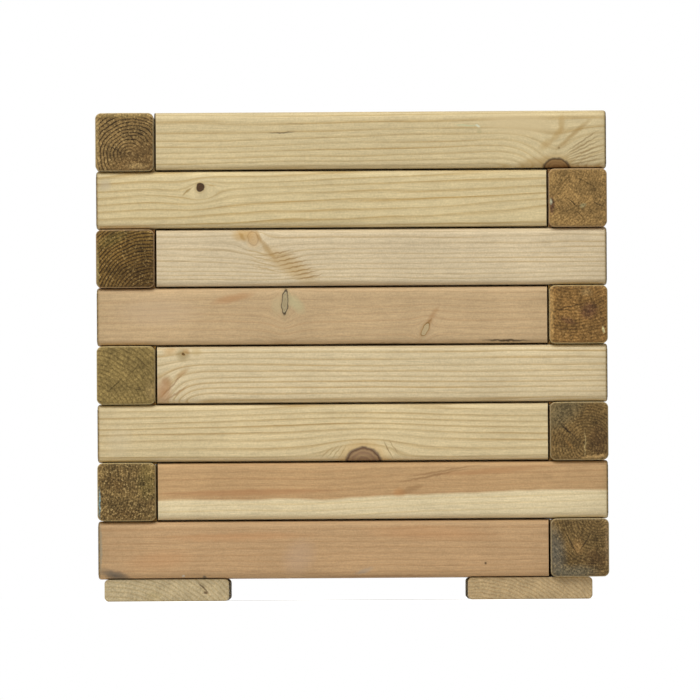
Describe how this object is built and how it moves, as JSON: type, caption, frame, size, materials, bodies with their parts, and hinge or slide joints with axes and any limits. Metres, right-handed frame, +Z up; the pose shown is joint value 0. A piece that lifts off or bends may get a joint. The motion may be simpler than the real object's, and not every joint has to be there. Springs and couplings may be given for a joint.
{
  "type": "rectangular planter",
  "caption": "Rectangular garden planter of square pine battens stacked log-cabin fashion, with interlocked corners, a slatted draining floor and two runners to stand on.",
  "frame": {"origin": "middle of the footprint, at ground level under the runners", "axes": "+X to the right seen from the front end, +Y along the planter away from the front end, +Z up"},
  "size_m": [0.3944, 0.5976, 0.377],
  "materials": {
    "wall_pine": "planed, pressure treated",
    "runner_pine": "planed, pressure treated",
    "floor_pine": "planed, pressure treated",
    "screw_steel": "zinc plated",
    "nail_steel": "galvanised"
  },
  "bodies": {
    "root": {"course_1_front_batten": "wall_pine", "course_1_right_batten": "wall_pine", "course_1_back_batten": "wall_pine", "course_1_left_batten": "wall_pine", "course_2_front_batten": "wall_pine", "course_2_right_batten": "wall_pine", "course_2_back_batten": "wall_pine", "course_2_left_batten": "wall_pine", "course_3_front_batten": "wall_pine", "course_3_right_batten": "wall_pine", "course_3_back_batten": "wall_pine", "course_3_left_batten": "wall_pine", "course_4_front_batten": "wall_pine", "course_4_right_batten": "wall_pine", "course_4_back_batten": "wall_pine", "course_4_left_batten": "wall_pine", "course_5_front_batten": "wall_pine", "course_5_right_batten": "wall_pine", "course_5_back_batten": "wall_pine", "course_5_left_batten": "wall_pine", "course_6_front_batten": "wall_pine", "course_6_right_batten": "wall_pine", "course_6_back_batten": "wall_pine", "course_6_left_batten": "wall_pine", "course_7_front_batten": "wall_pine", "course_7_right_batten": "wall_pine", "course_7_back_batten": "wall_pine", "course_7_left_batten": "wall_pine", "course_8_front_batten": "wall_pine", "course_8_right_batten": "wall_pine", "course_8_back_batten": "wall_pine", "course_8_left_batten": "wall_pine", "left_runner": "runner_pine", "right_runner": "runner_pine", "floor_board_1": "floor_pine", "floor_board_2": "floor_pine", "floor_board_3": "floor_pine", "floor_board_4": "floor_pine", "floor_board_5": "floor_pine", "course_2_screws": "screw_steel", "course_3_screws": "screw_steel", "course_4_screws": "screw_steel", "course_5_screws": "screw_steel", "course_6_screws": "screw_steel", "course_7_screws": "screw_steel", "course_8_screws": "screw_steel", "runner_screws": "screw_steel", "floor_nails": "nail_steel"}
  },
  "joints": []
}
